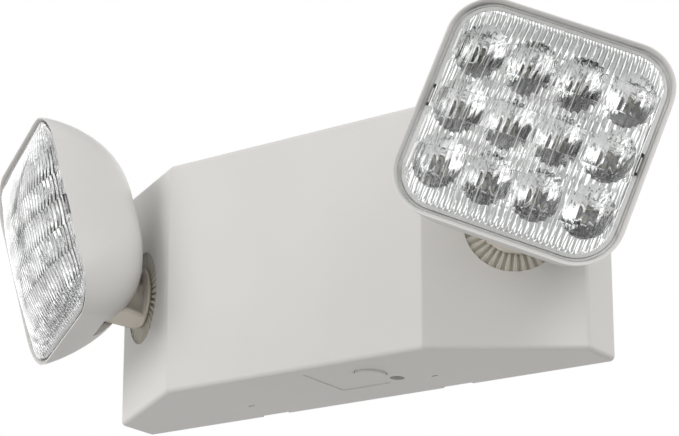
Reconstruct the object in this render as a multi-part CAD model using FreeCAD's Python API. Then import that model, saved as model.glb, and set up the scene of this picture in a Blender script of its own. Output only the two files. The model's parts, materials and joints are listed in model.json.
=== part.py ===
import FreeCAD, Part
import math
import os
from FreeCAD import Placement, Rotation, Vector

# Two-head emergency light for a wall. A hipped plastic housing carries a square lamp head on each
# of its two slanted sides. Each head turns on a toothed ring and tilts on a pin inside its shell.
# X runs along the wall, +Y goes into the wall and +Z is up. The origin is the middle of the wall face.
# All sizes are in millimetres.

# Housing
housing_width = 270.0
housing_height = 118.0
housing_depth = 57.0
front_width = 147.0
end_depth = 20.5
draft_slope = 0.06
housing_wall = 2.5
edge_round = 2.4

# Back plate
plate_thickness = 2.5
plate_gap = 0.3
wire_hole_radius = 11.0
box_screw_spacing = 88.9
box_screw_radius = 2.75
keyhole_spacing = 190.0
keyhole_head_radius = 4.5
keyhole_slot_width = 5.0
keyhole_slot_length = 9.0

# Snap latches along the lower edge
latch_spacing = 106.0
latch_width = 16.0
latch_notch = 0.8
latch_slot_length = 3.2
latch_slot_width = 1.4
latch_slot_from_wall = 19.0
hook_thickness = 1.8
hook_reach = 4.0
hook_end_inset = 2.0
catch_gap = 0.8

# Toothed ring and swivel
ring_radius = 22.5
ring_inner_radius = 12.5
ring_shift = 5.2
ring_depth = 1.9
tooth_count = 36
tooth_height = 1.6
tooth_top_share = 0.34
tooth_base_share = 0.86
boss_depth = 6.0
boss_rim = 2.5
hub_radius = 8.95
hub_clearance = 0.05
hub_bore_radius = 5.5
swivel_gap = 0.3
swivel_travel = 150.0

# Arm
arm_disc_radius = 14.5
arm_disc_thickness = 1.6
arm_reach = 24.0
arm_drop = 4.0
arm_width = 16.0
arm_top = 4.5
arm_bottom = -13.5
arm_flange = 2.2
arm_web = 8.0
barrel_radius = 5.5
wire_way_radius = 2.6
tab_width = 8.0
tab_low = 6.0
tab_high = 11.5
tab_thickness = 2.6

# Swivel retainer
washer_thickness = 0.6
washer_radius = 12.0
collar_radius = 12.5
collar_thickness = 2.5
lug_radius = 15.5
lug_half_angle = 7.0
stop_gap_angle = 1.0
small_screw_head_radius = 2.1
small_screw_head_height = 1.4
collar_screw_circle = 7.2

# Tilt joint
tilt_pin_radius = 2.5
tilt_pin_clearance = 0.05
cheek_thickness = 2.5
cheek_radius = 5.5
slot_side_gap = 1.2
slot_up_angle = 38.0
slot_down_angle = 97.0

# Lamp head
head_size = 101.4
head_corner = 20.4
head_centre_above_pin = 33.0
rim_ahead_of_pin = 20.5
shell_depth = 42.0
shell_wall = 2.0
rim_edge = 0.5
rim_slope_depth = 1.2
shell_back_half = 13.0
shell_curve_start = 1.7
shell_curve_end = 3.2
shell_back_roundness = 0.75
mouth_gap = 0.15
mouth_ease = 0.02
post_radius = 3.0
post_offset = 37.0

# Lens
lens_crown = 10.8
lens_thickness = 1.8
lens_skirt = 2.5
lens_sunk = 0.9
window_length = 10.0
window_width = 1.2
window_inset = 2.2

# Reflector and light board
cup_columns = 4
cup_rows = 3
cup_pitch_x = 22.0
cup_pitch_z = 25.6
cup_mouth_radius = 10.6
cup_floor_radius = 3.6
cup_depth = 10.0
reflector_wall = 0.8
reflector_flange = 1.2
reflector_gap = 1.4
board_thickness = 1.6
chip_size = 3.0
chip_height = 0.8

# Pose in which the heads are stored: turn about the swivel axis and tilt below straight out
right_swivel = -21.8
right_tilt = 0.0
left_swivel = 8.7
left_tilt = 12.3

# Test button and indicator lamp
button_x = 30.5
button_y = -36.5
button_radius = 7.2
button_gap = 0.3
button_proud = 1.2
button_flange = 1.2
button_travel = 0.8
button_stem_radius = 2.0
lamp_x = 36.5
lamp_y = -24.5
lamp_hole_radius = 3.3
lamp_radius = 2.5
lamp_foot_drop = 3.5
lamp_recess = 1.6
label_x = (2.0, 29.0)
label_y = (-49.5, -19.0)
label_depth = 0.35
test_board_size = (34.0, 25.0)
test_board_height = 10.0
test_switch_size = 6.2
test_switch_height = 3.6
plunger_radius = 1.7
plunger_step = 0.6
test_post_radius = 2.4
test_post_inset = 3.0
button_edge_round = 0.6
lamp_foot_rim = 0.4
lamp_foot_thickness = 1.0

# Pieces on the back plate
cell_radius = 11.3
cell_length = 43.0
cell_count = 3
cell_gap = 0.4
battery_z = -28.0
cradle_wall = 2.0
cradle_height = 9.0
strap_width = 12.0
strap_thickness = 1.0
strap_gap = 0.3
strap_post_rise = 4.0
strap_foot_reach = 3.5
strap_low_leg = 2.5
cell_neck_length = 1.0
cell_neck_step = 0.8
board_size = (124.0, 60.0)
board_z = 22.0
standoff_height = 5.0
standoff_radius = 3.0
board_screw_inset = 4.5
transformer_size = (44.0, 34.0, 37.0)
transformer_x = -34.0
winding_size = (30.0, 36.0, 24.0)
relay_size = (20.0, 15.5, 15.5)
relay_x = 44.0
relay_rise = 12.0
relay_chamfer = 0.6
winding_round = 3.0
capacitor_radius = 5.0
capacitor_length = 16.0
capacitor_count = 3
capacitor_x = 2.0
capacitor_pitch = 12.5
capacitor_rise = -16.0
terminal_size = (26.0, 10.0, 12.0)
terminal_pitch = 6.5
terminal_count = 4
terminal_x = 14.0
terminal_rise = 20.0
terminal_mouth = 4.0
terminal_mouth_low = 3.0
terminal_mouth_rise = 2.0
heat_sink_size = (24.0, 13.0, 20.0)
heat_sink_fins = 5
heat_sink_rise = -14.0
heat_sink_base = 4.0
fin_gap_share = 0.6

# Worked out from the sizes above
side_run = (housing_width - front_width) / 2
side_fall = housing_depth - end_depth
side_length = math.hypot(side_run, side_fall)
side_angle = math.degrees(math.atan2(side_fall, side_run))
draft_angle = math.degrees(math.atan(draft_slope))
bottom_stretch = math.hypot(1.0, draft_slope)
pin_to_plate = arm_width / 2 + slot_side_gap
cheek_outside = pin_to_plate + cheek_thickness
reflector_front = lens_skirt
board_front = reflector_front + cup_depth
board_back = board_front + board_thickness
hub_length = boss_depth + swivel_gap + washer_thickness
board_seat_y = -plate_thickness - standoff_height
board_face_y = board_seat_y - board_thickness


def polygon_face(points):
    """A flat face through a list of vectors."""
    return Part.Face(Part.makePolygon(points + [points[0]]))


def box(low, high):
    """An upright box between two corners."""
    size = high.sub(low)
    return Part.makeBox(size.x, size.y, size.z, low)


def rod(radius, start, end):
    """A round rod from one point to another."""
    run = end.sub(start)
    return Part.makeCylinder(radius, run.Length, start, run)


def ring(outer, inner, start, end):
    """A tube from one point to another."""
    return rod(outer, start, end).cut(rod(inner, start, end))


def rounded_square(half, corner, y, centre_z=0.0):
    """A rounded square wire in the XZ plane at height y."""
    flat = half - corner
    bend = corner * math.sqrt(0.5)
    edges = []
    for quarter in range(4):
        turn = Rotation(Vector(0, 1, 0), -90.0 * quarter)
        side_a = turn.multVec(Vector(half, y, -flat))
        side_b = turn.multVec(Vector(half, y, flat))
        middle = turn.multVec(Vector(flat + bend, y, flat + bend))
        arc_end = turn.multVec(Vector(flat, y, half))
        shift = Vector(0, 0, centre_z)
        points = [point.add(shift) for point in (side_a, side_b, middle, arc_end)]
        edges.append(Part.LineSegment(points[0], points[1]).toShape())
        edges.append(Part.Arc(points[1], points[2], points[3]).toShape())
    return Part.Wire(edges)


def moved(shape, placement):
    """A copy of a shape carried by a placement."""
    copy = shape.copy()
    copy.Placement = placement.multiply(copy.Placement)
    return copy


# Housing


def housing_block(inset, back_y=0.0):
    """The hipped block: a six-sided plan with drafted top and bottom, moved inwards by inset."""
    normal_x = side_fall / side_length
    normal_y = -side_run / side_length
    end_x = housing_width / 2 - inset
    end_y = -end_depth - inset * (1 - normal_x) / normal_y
    front_y = -(housing_depth - inset)
    front_x = housing_width / 2 + (-inset + normal_y * side_fall - normal_y * inset) / normal_x
    half = housing_height / 2
    plan = [(-end_x, back_y), (-end_x, end_y), (-front_x, front_y),
            (front_x, front_y), (end_x, end_y), (end_x, back_y)]
    plan_face = polygon_face([Vector(x, y, -housing_height) for x, y in plan])
    column = plan_face.extrude(Vector(0, 0, 2 * housing_height))
    back_half = half - inset * bottom_stretch + draft_slope * back_y
    front_half = half - inset * bottom_stretch - draft_slope * housing_depth
    side = [(back_y, back_half), (-housing_depth, front_half),
            (-housing_depth, -front_half), (back_y, -back_half)]
    side_face = polygon_face([Vector(-housing_width, y, z) for y, z in side])
    return column.common(side_face.extrude(Vector(2 * housing_width, 0, 0)))


def side_frame(side):
    """The placement of the swivel axis: -Y points out of the slanted face, Z up. side is 1 or -1."""
    middle_x = (front_width + housing_width) / 4
    middle_y = -(housing_depth + end_depth) / 2
    x = middle_x + ring_shift * side_run / side_length
    y = middle_y + ring_shift * side_fall / side_length
    return Placement(Vector(side * x, y, 0), Rotation(Vector(0, 0, 1), side * side_angle))


def bottom_frame(x, y):
    """A placement on the drafted bottom: origin on the outer face, +Z pointing up into the housing."""
    z = -housing_height / 2 - draft_slope * y
    return Placement(Vector(x, y, z), Rotation(Vector(1, 0, 0), -draft_angle))


def tooth():
    """One radial tooth of the ring: it widens outwards, with a flat top below the slanted face."""
    wires = []
    for radius in (ring_inner_radius - 0.5, ring_radius + 0.5):
        pitch = 2 * math.pi * radius / tooth_count
        base = pitch * tooth_base_share / 2
        top = pitch * tooth_top_share / 2
        floor = ring_depth + 0.2
        crest = ring_depth - tooth_height
        points = [Vector(-base, floor, radius), Vector(-top, crest, radius),
                  Vector(top, crest, radius), Vector(base, floor, radius)]
        wires.append(Part.makePolygon(points + [points[0]]))
    return Part.makeLoft(wires, True, True)


def toothed_ring():
    """The ring of teeth about the swivel axis, standing on the floor of its round recess."""
    pattern = tooth()
    teeth = []
    for index in range(tooth_count):
        turn = Placement(Vector(0, 0, 0), Rotation(Vector(0, 1, 0), index * 360.0 / tooth_count))
        teeth.append(moved(pattern, turn))
    comb = teeth[0].multiFuse(teeth[1:])
    keep = ring(ring_radius, ring_inner_radius, Vector(0, -1, 0), Vector(0, ring_depth + 1, 0))
    return comb.common(keep)


def angle_sector(inner, outer, start_y, end_y, middle_angle, half_angle):
    """Part of a ring about the Y axis: the angle is measured from +Z."""
    whole = ring(outer, inner, Vector(0, start_y, 0), Vector(0, end_y, 0))
    reach = 3 * outer
    points = [Vector(0, start_y, 0)]
    for angle in (middle_angle - half_angle, middle_angle, middle_angle + half_angle):
        turn = math.radians(angle)
        points.append(Vector(reach * math.sin(turn), start_y, reach * math.cos(turn)))
    wedge = polygon_face(points).extrude(Vector(0, end_y - start_y, 0))
    return whole.common(wedge)


def front_housing():
    """The moulded front: a hollow hipped shell with swivel bosses, toothed rings and openings."""
    outer = housing_block(0.0)
    soft = [edge for edge in outer.Edges
            if not all(abs(vertex.Point.y) < 0.01 for vertex in edge.Vertexes)]
    outer = outer.makeFillet(edge_round, soft)
    shell = outer.cut(housing_block(housing_wall, back_y=5.0))
    for side in (-1, 1):
        frame = side_frame(side)
        boss = rod(ring_radius + boss_rim, Vector(0, -1, 0), Vector(0, boss_depth, 0))
        shell = shell.fuse(moved(boss, frame).common(outer))
        recess = ring(ring_radius, ring_inner_radius, Vector(0, -3, 0), Vector(0, ring_depth, 0))
        land = rod(ring_inner_radius, Vector(0, -3, 0), Vector(0, swivel_gap, 0))
        bore = rod(hub_radius + hub_clearance, Vector(0, -3, 0), Vector(0, boss_depth + 1, 0))
        for cutter in (recess, land, bore):
            shell = shell.cut(moved(cutter, frame))
        shell = shell.fuse(moved(toothed_ring(), frame))
        stop_half = 180.0 - swivel_travel - lug_half_angle - stop_gap_angle
        stop_end = hub_length + collar_thickness
        stop = angle_sector(collar_radius + swivel_gap, lug_radius, boss_depth - 0.5, stop_end,
                            180.0, stop_half)
        shell = shell.fuse(moved(stop, frame))
    shell = cut_bottom(shell)
    shell = add_latches(shell)
    return shell.removeSplitter()


def cut_bottom(shell):
    """Button and lamp holes, the shallow label field, latch slots and notches in the bottom."""
    frame = bottom_frame(button_x, button_y)
    hole = rod(button_radius + button_gap, Vector(0, 0, -2), Vector(0, 0, housing_wall + 2))
    shell = shell.cut(moved(hole, frame))
    frame = bottom_frame(lamp_x, lamp_y)
    hole = rod(lamp_hole_radius, Vector(0, 0, -2), Vector(0, 0, housing_wall + 2))
    shell = shell.cut(moved(hole, frame))
    frame = bottom_frame(0, 0)
    field = box(Vector(label_x[0], label_y[0], -2), Vector(label_x[1], label_y[1], label_depth))
    shell = shell.cut(moved(field, frame))
    for side in (-1, 1):
        frame = bottom_frame(side * latch_spacing / 2, -latch_slot_from_wall)
        slot = box(Vector(-latch_slot_length / 2, -latch_slot_width / 2, -2),
                   Vector(latch_slot_length / 2, latch_slot_width / 2, housing_wall + 2))
        shell = shell.cut(moved(slot, frame))
        frame = bottom_frame(side * latch_spacing / 2, 0)
        notch = box(Vector(-latch_width / 2, -1.5, -2), Vector(latch_width / 2, 2, latch_notch))
        shell = shell.cut(moved(notch, frame))
    posts = []
    for post_x, post_y in test_board_posts():
        frame = bottom_frame(post_x, post_y)
        start = Vector(0, 0, housing_wall - 0.5)
        posts.append(moved(rod(test_post_radius, start, Vector(0, 0, test_board_height)), frame))
    return shell.multiFuse(posts)


def add_latches(shell):
    """Two small catches inside the lower wall, which hook in front of the back plate."""
    for side in (-1, 1):
        x = side * latch_spacing / 2
        frame = bottom_frame(x, 0)
        half = latch_width / 2 - hook_end_inset
        back = -plate_thickness - catch_gap
        low = Vector(-half, back - hook_thickness, housing_wall - 0.5)
        high = Vector(half, back, housing_wall + hook_reach)
        shell = shell.fuse(moved(box(low, high), frame))
    return shell


def test_board_posts():
    """Places on the bottom of the two posts that carry the small test board."""
    middle_x = (button_x + lamp_x) / 2
    middle_y = (button_y + lamp_y) / 2
    reach_x = test_board_size[0] / 2 - test_post_inset
    reach_y = test_board_size[1] / 2 - test_post_inset
    return [(middle_x - reach_x, middle_y + reach_y), (middle_x + reach_x, middle_y - reach_y)]


# Test button, lamp and their board


def test_button():
    """The round push button: a cap that shows, a wider flange behind the wall and a stem."""
    inside = housing_wall + swivel_gap
    cap = rod(button_radius, Vector(0, 0, -button_proud), Vector(0, 0, inside))
    rim = [edge for edge in cap.Edges if edge.BoundBox.ZMax < -button_proud + 0.01]
    cap = cap.makeFillet(button_edge_round, rim)
    flange = rod(button_radius + button_flange + button_gap, Vector(0, 0, inside),
                 Vector(0, 0, inside + button_flange))
    stem_end = test_board_height - test_switch_height - button_travel - swivel_gap
    stem = rod(button_stem_radius, Vector(0, 0, inside), Vector(0, 0, stem_end))
    return moved(cap.fuse([flange, stem]).removeSplitter(), bottom_frame(button_x, button_y))


def test_board():
    """The small board over the button, carried by two posts of the housing."""
    middle_x = (button_x + lamp_x) / 2
    middle_y = (button_y + lamp_y) / 2
    half_x = test_board_size[0] / 2
    half_y = test_board_size[1] / 2
    plate = box(Vector(-half_x, -half_y, test_board_height),
                Vector(half_x, half_y, test_board_height + board_thickness))
    return moved(plate, bottom_frame(middle_x, middle_y))


def test_board_screws():
    """Two screws that hold the test board to its posts."""
    screws = []
    for post_x, post_y in test_board_posts():
        start = test_board_height + board_thickness
        head = rod(small_screw_head_radius, Vector(0, 0, start),
                   Vector(0, 0, start + small_screw_head_height))
        screws.append(moved(head, bottom_frame(post_x, post_y)))
    return Part.makeCompound(screws)


def test_switch():
    """The switch under the board, with its short plunger facing the button's stem."""
    half = test_switch_size / 2
    tip = test_board_height - test_switch_height
    body = box(Vector(-half, -half, tip + plunger_step), Vector(half, half, test_board_height))
    plunger = rod(plunger_radius, Vector(0, 0, tip), Vector(0, 0, test_board_height))
    return moved(body.fuse(plunger), bottom_frame(button_x, button_y))


def indicator_lamp():
    """The round-nosed indicator lamp, set back in its hole and standing under the test board."""
    nose = lamp_recess + lamp_radius
    body = rod(lamp_radius, Vector(0, 0, nose), Vector(0, 0, test_board_height))
    tip = Part.makeSphere(lamp_radius, Vector(0, 0, nose))
    foot_z = test_board_height - lamp_foot_drop
    foot = rod(lamp_radius + lamp_foot_rim, Vector(0, 0, foot_z), Vector(0, 0, foot_z + lamp_foot_thickness))
    return moved(body.fuse([tip, foot]).removeSplitter(), bottom_frame(lamp_x, lamp_y))


# Back plate and what it carries


def keyhole(x):
    """A keyhole for hanging: a round hole with a narrow slot above it."""
    head = rod(keyhole_head_radius, Vector(x, -9, 0), Vector(x, 3, 0))
    half = keyhole_slot_width / 2
    slot = box(Vector(x - half, -9, 0), Vector(x + half, 3, keyhole_slot_length))
    top = rod(half, Vector(x, -9, keyhole_slot_length), Vector(x, 3, keyhole_slot_length))
    return head.fuse([slot, top])


def board_corners():
    """The four screw places of the charger board, as x and z."""
    reach_x = board_size[0] / 2 - board_screw_inset
    reach_z = board_size[1] / 2 - board_screw_inset
    return [(side * reach_x, board_z + end * reach_z) for side in (-1, 1) for end in (-1, 1)]


def back_plate():
    """The flat plate on the wall: wire hole, box screw holes, keyholes, standoffs and battery cradle."""
    inner = housing_block(housing_wall + plate_gap)
    slab = box(Vector(-housing_width, -plate_thickness, -housing_height),
               Vector(housing_width, 0, housing_height))
    plate = inner.common(slab)
    adds = []
    for x, z in board_corners():
        adds.append(rod(standoff_radius, Vector(x, -plate_thickness + 0.5, z),
                        Vector(x, -plate_thickness - standoff_height, z)))
    half = battery_half_length() + cell_gap
    low_z = battery_z - cell_radius - cell_gap
    front = -plate_thickness - cradle_height
    adds.append(box(Vector(-half, front, low_z - cradle_wall), Vector(half, -plate_thickness + 0.5, low_z)))
    for side in (-1, 1):
        near = side * half
        far = side * (half + cradle_wall)
        low = Vector(min(near, far), front, low_z - cradle_wall)
        high = Vector(max(near, far), -plate_thickness + 0.5, battery_z + cell_radius)
        adds.append(box(low, high))
        post_z = strap_screw_height()
        adds.append(rod(standoff_radius, Vector(side * half / 2, -plate_thickness + 0.5, post_z),
                        Vector(side * half / 2, -plate_thickness - standoff_height, post_z)))
    plate = plate.multiFuse(adds)
    cutters = [rod(wire_hole_radius, Vector(0, -9, 0), Vector(0, 3, 0))]
    for side in (-1, 1):
        cutters.append(rod(box_screw_radius, Vector(side * box_screw_spacing / 2, -9, 0),
                           Vector(side * box_screw_spacing / 2, 3, 0)))
        cutters.append(keyhole(side * keyhole_spacing / 2))
    for cutter in cutters:
        plate = plate.cut(cutter)
    return plate.removeSplitter()


def battery_half_length():
    """Half the length of the row of cells."""
    return cell_count * cell_length / 2


def strap_screw_height():
    """The height of the two posts that the battery straps are screwed to."""
    return battery_z + cell_radius + strap_post_rise


def battery_pack():
    """Three round cells end to end in one sleeve, lying in the cradle."""
    y = -plate_thickness - cell_gap - cell_radius
    start = -battery_half_length()
    cells = []
    for index in range(cell_count):
        left = start + index * cell_length
        right = left + cell_length
        body = rod(cell_radius, Vector(left + cell_neck_length, y, battery_z),
                   Vector(right - cell_neck_length, y, battery_z))
        neck = rod(cell_radius - cell_neck_step, Vector(left, y, battery_z), Vector(right, y, battery_z))
        cells.append(body.fuse(neck))
    return cells[0].multiFuse(cells[1:]).removeSplitter()


def battery_straps():
    """Two bent straps over the battery: each has a foot on its post and a leg in the cradle."""
    straps = []
    y = -plate_thickness - cell_gap - cell_radius
    outer = cell_radius + strap_gap + strap_thickness
    foot_y = board_seat_y
    for side in (-1, 1):
        x = side * (battery_half_length() + cell_gap) / 2
        low_x = Vector(x - strap_width / 2, y, battery_z)
        high_x = Vector(x + strap_width / 2, y, battery_z)
        bow = ring(outer, outer - strap_thickness, low_x, high_x)
        front = box(Vector(x - strap_width, y - 2 * outer, battery_z - 2 * outer),
                    Vector(x + strap_width, y, battery_z + 2 * outer))
        bow = bow.common(front)
        top_z = battery_z + outer
        leg = box(Vector(x - strap_width / 2, y, top_z - strap_thickness),
                  Vector(x + strap_width / 2, foot_y, top_z))
        foot = box(Vector(x - strap_width / 2, foot_y - strap_thickness, top_z - strap_thickness),
                   Vector(x + strap_width / 2, foot_y, strap_screw_height() + strap_foot_reach))
        low_leg = box(Vector(x - strap_width / 2, y, battery_z - outer),
                      Vector(x + strap_width / 2, y + strap_low_leg, battery_z - outer + strap_thickness))
        straps.append(bow.fuse([leg, foot, low_leg]).removeSplitter())
    return Part.makeCompound(straps)


def wall_screw(x, z, y_face):
    """A pan-head screw that points at the wall, with its head on the face y_face."""
    head = rod(small_screw_head_radius, Vector(x, y_face, z), Vector(x, y_face - small_screw_head_height, z))
    slot = box(Vector(x - 3, y_face - 3, z - 0.3),
               Vector(x + 3, y_face - small_screw_head_height + 0.6, z + 0.3))
    return head.cut(slot)


def strap_screws():
    """The two screws of the battery straps."""
    face = board_seat_y - strap_thickness
    reach = (battery_half_length() + cell_gap) / 2
    z = strap_screw_height()
    return Part.makeCompound([wall_screw(side * reach, z, face) for side in (-1, 1)])


def charger_board():
    """The charger board on its four standoffs."""
    return box(Vector(-board_size[0] / 2, board_face_y, board_z - board_size[1] / 2),
               Vector(board_size[0] / 2, board_seat_y, board_z + board_size[1] / 2))


def board_screws():
    """The four screws of the charger board."""
    return Part.makeCompound([wall_screw(x, z, board_face_y) for x, z in board_corners()])


def on_board(size, x, z):
    """A box of the given width, height and depth standing on the charger board."""
    return box(Vector(x - size[0] / 2, board_face_y - size[2], z - size[1] / 2),
               Vector(x + size[0] / 2, board_face_y, z + size[1] / 2))


def transformer():
    """The transformer: an iron core with its winding through the middle."""
    core = on_board(transformer_size, transformer_x, board_z)
    middle = board_face_y - transformer_size[2] / 2
    half = Vector(winding_size[0] / 2, winding_size[2] / 2, winding_size[1] / 2)
    centre = Vector(transformer_x, middle, board_z)
    window = box(centre.sub(half), centre.add(half))
    stripe = [edge for edge in window.Edges if abs(edge.Vertexes[0].Z - edge.Vertexes[-1].Z) > 1.0]
    return core.fuse(window.makeFillet(winding_round, stripe)).removeSplitter()


def relay():
    """The transfer relay in its square case."""
    body = on_board(relay_size, relay_x, board_z + relay_rise)
    front = board_face_y - relay_size[2]
    rim = [edge for edge in body.Edges if edge.BoundBox.YMax < front + 0.01]
    return body.makeChamfer(relay_chamfer, rim)


def capacitors():
    """Three upright round capacitors."""
    cans = []
    z = board_z + capacitor_rise
    for index in range(capacitor_count):
        x = capacitor_x + index * capacitor_pitch
        start = Vector(x, board_face_y, z)
        cans.append(rod(capacitor_radius, start, Vector(x, board_face_y - capacitor_length, z)))
    return Part.makeCompound(cans)


def terminal_block():
    """The mains terminal block with its row of wire mouths."""
    body = on_board(terminal_size, terminal_x, board_z + terminal_rise)
    near = board_face_y - terminal_mouth_low
    floor_z = board_z + terminal_rise + terminal_mouth_rise
    for index in range(terminal_count):
        x = terminal_x + (index - (terminal_count - 1) / 2) * terminal_pitch
        mouth = box(Vector(x - terminal_mouth / 2, near - terminal_mouth, floor_z),
                    Vector(x + terminal_mouth / 2, near, floor_z + terminal_size[1]))
        body = body.cut(mouth)
    return body


def heat_sink():
    """A finned heat sink for the lamp driver."""
    body = on_board(heat_sink_size, relay_x, board_z + heat_sink_rise)
    pitch = heat_sink_size[0] / heat_sink_fins
    half_gap = pitch * fin_gap_share / 2
    z = board_z + heat_sink_rise
    for index in range(heat_sink_fins - 1):
        x = relay_x - heat_sink_size[0] / 2 + (index + 1) * pitch
        gap = box(Vector(x - half_gap, board_face_y - 2 * heat_sink_size[2], z - heat_sink_size[1]),
                  Vector(x + half_gap, board_face_y - heat_sink_base, z + heat_sink_size[1]))
        body = body.cut(gap)
    return body


# Swivel arm. Local frame: origin on the swivel axis at the slanted face, -Y pointing outwards.


def arm():
    """The arm: disc over the teeth, hollow hub through the boss, flanged channel and barrel."""
    disc = rod(arm_disc_radius, Vector(0, 0, 0), Vector(0, -arm_disc_thickness, 0))
    hub = rod(hub_radius, Vector(0, -0.5, 0), Vector(0, hub_length, 0))
    profile = [Vector(0, -1.0, arm_top), Vector(0, -arm_reach, barrel_radius - arm_drop),
               Vector(0, -arm_reach, -barrel_radius - arm_drop), Vector(0, -1.0, arm_bottom)]
    outline = polygon_face(profile)
    half = Vector(arm_width / 2, 0, 0)
    outline.translate(half.negative())
    channel = outline.extrude(Vector(arm_width, 0, 0))
    barrel_a = Vector(-arm_width / 2, -arm_reach, -arm_drop)
    barrel_b = Vector(arm_width / 2, -arm_reach, -arm_drop)
    barrel = rod(barrel_radius, barrel_a, barrel_b)
    pocket = [Vector(0, -arm_disc_thickness - 1.4, arm_top - arm_flange - 0.4),
              Vector(0, -arm_reach + barrel_radius + 1.2, -arm_drop + barrel_radius - arm_flange - 0.4),
              Vector(0, -arm_reach + barrel_radius + 1.2, -arm_drop - barrel_radius + arm_flange + 0.4),
              Vector(0, -arm_disc_thickness - 1.4, arm_bottom + arm_flange + 0.4)]
    sunk = (arm_width - arm_web) / 2
    tab = box(Vector(-tab_width / 2, -arm_disc_thickness - tab_thickness, tab_low),
              Vector(tab_width / 2, -arm_disc_thickness + 0.4, tab_high))
    tab_hole = box(Vector(-tab_width / 2 - 1, -arm_disc_thickness - tab_thickness + 0.9, tab_low + 1.2),
                   Vector(tab_width / 2 + 1, -arm_disc_thickness - 0.3, tab_high - 1.2))
    body = disc.fuse([hub, channel, barrel, tab.cut(tab_hole)])
    for start in (-arm_width / 2 - 1, arm_width / 2 - sunk):
        hollow = polygon_face([point.add(Vector(start, 0, 0)) for point in pocket])
        body = body.cut(hollow.extrude(Vector(sunk + 1, 0, 0)))
    body = body.cut(rod(hub_bore_radius, Vector(0, 0, 0), Vector(0, hub_length + 1, 0)))
    body = body.cut(rod(wire_way_radius, Vector(0, 1, 0), Vector(0, -arm_reach, 0)))
    body = body.cut(rod(tilt_pin_radius + tilt_pin_clearance, barrel_a.sub(half), barrel_b.add(half)))
    return body.removeSplitter()


def swivel_washer():
    """The flat friction washer between the boss and the collar."""
    return ring(washer_radius, hub_radius + hub_clearance, Vector(0, boss_depth + swivel_gap, 0),
                Vector(0, hub_length, 0))


def swivel_collar():
    """The collar screwed to the hub's end, with the lug that meets the housing's stop."""
    end = hub_length + collar_thickness
    body = ring(collar_radius, hub_bore_radius, Vector(0, hub_length, 0), Vector(0, end, 0))
    lug = angle_sector(collar_radius - 1.0, lug_radius, hub_length, end, 0.0, lug_half_angle)
    return body.fuse(lug).removeSplitter()


def collar_screws():
    """Two screws that hold the collar on the hub."""
    start = hub_length + collar_thickness
    screws = []
    for side in (-1, 1):
        x = side * collar_screw_circle
        screws.append(rod(small_screw_head_radius, Vector(x, start, 0),
                          Vector(x, start + small_screw_head_height, 0)))
    return Part.makeCompound(screws)


# Lamp head. Local frame: origin on the tilt pin's axis, X along the pin, -Y towards the light.


def shell_form(inset):
    """The domed bowl as a loft of rounded squares, from the rim back to a small crown."""
    depth = shell_depth - inset
    half_front = head_size / 2 - inset
    half_back = shell_back_half - inset
    wires = []
    for share in (0.0, 0.16, 0.36, 0.56, 0.72, 0.85, 0.94, 0.985, 1.0):
        shrink = (1.0 - share ** shell_curve_start) ** (1.0 / shell_curve_end)
        half = half_back + (half_front - half_back) * shrink
        corner = (head_corner - inset) * (1 - share) + shell_back_roundness * half * share
        wires.append(rounded_square(half, corner, -rim_ahead_of_pin + depth * share, head_centre_above_pin))
    return Part.makeLoft(wires, True, False)


def lamp_shell():
    """The bowl of the lamp head with its arm slot, pin cheeks and board posts."""
    outer = shell_form(0.0)
    mouth_half = head_size / 2 - shell_wall + mouth_ease
    mouth_corner = head_corner - shell_wall + mouth_ease
    mouth = [rounded_square(mouth_half, mouth_corner, -rim_ahead_of_pin + y, head_centre_above_pin)
             for y in (-1.0, lens_skirt + mouth_gap)]
    shell = outer.cut(shell_form(shell_wall).fuse(Part.makeLoft(mouth, True, True)))
    slope = []
    for y in (-1.0, rim_slope_depth):
        inset = rim_edge + (shell_wall - rim_edge) * y / rim_slope_depth
        slope.append(rounded_square(head_size / 2 - inset, head_corner - inset, -rim_ahead_of_pin + y,
                                    head_centre_above_pin))
    shell = shell.cut(Part.makeLoft(slope, True, True))
    board_y = -rim_ahead_of_pin + board_back
    adds = []
    for side in (-1, 1):
        near = side * pin_to_plate
        far = side * cheek_outside
        plate = box(Vector(min(near, far), -cheek_radius, -head_size),
                    Vector(max(near, far), cheek_radius, 0))
        eye = rod(cheek_radius, Vector(near, 0, 0), Vector(far, 0, 0))
        adds.append(plate.fuse(eye).common(outer))
        for end in (-1, 1):
            z = head_centre_above_pin + end * post_offset
            post = rod(post_radius, Vector(side * post_offset, board_y, z),
                       Vector(side * post_offset, shell_depth, z))
            adds.append(post.common(outer))
    shell = shell.multiFuse(adds)
    up = math.radians(slot_up_angle)
    down = math.radians(slot_down_angle)
    reach = head_size
    start = Vector(-pin_to_plate, reach * math.cos(up), reach * math.sin(up))
    middle = Vector(-pin_to_plate, reach, 0)
    end = Vector(-pin_to_plate, reach * math.cos(down), -reach * math.sin(down))
    origin = Vector(-pin_to_plate, 0, 0)
    edges = [Part.LineSegment(origin, start).toShape(), Part.Arc(start, middle, end).toShape(),
             Part.LineSegment(end, origin).toShape()]
    slot = Part.Face(Part.Wire(edges)).extrude(Vector(2 * pin_to_plate, 0, 0))
    shell = shell.cut(slot)
    pin_hole = rod(tilt_pin_radius, Vector(-cheek_outside - 1, 0, 0), Vector(cheek_outside + 1, 0, 0))
    return shell.cut(pin_hole)


def tilt_pin():
    """The pin through the cheeks and the arm's barrel."""
    return rod(tilt_pin_radius, Vector(-cheek_outside, 0, 0), Vector(cheek_outside, 0, 0))


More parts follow.
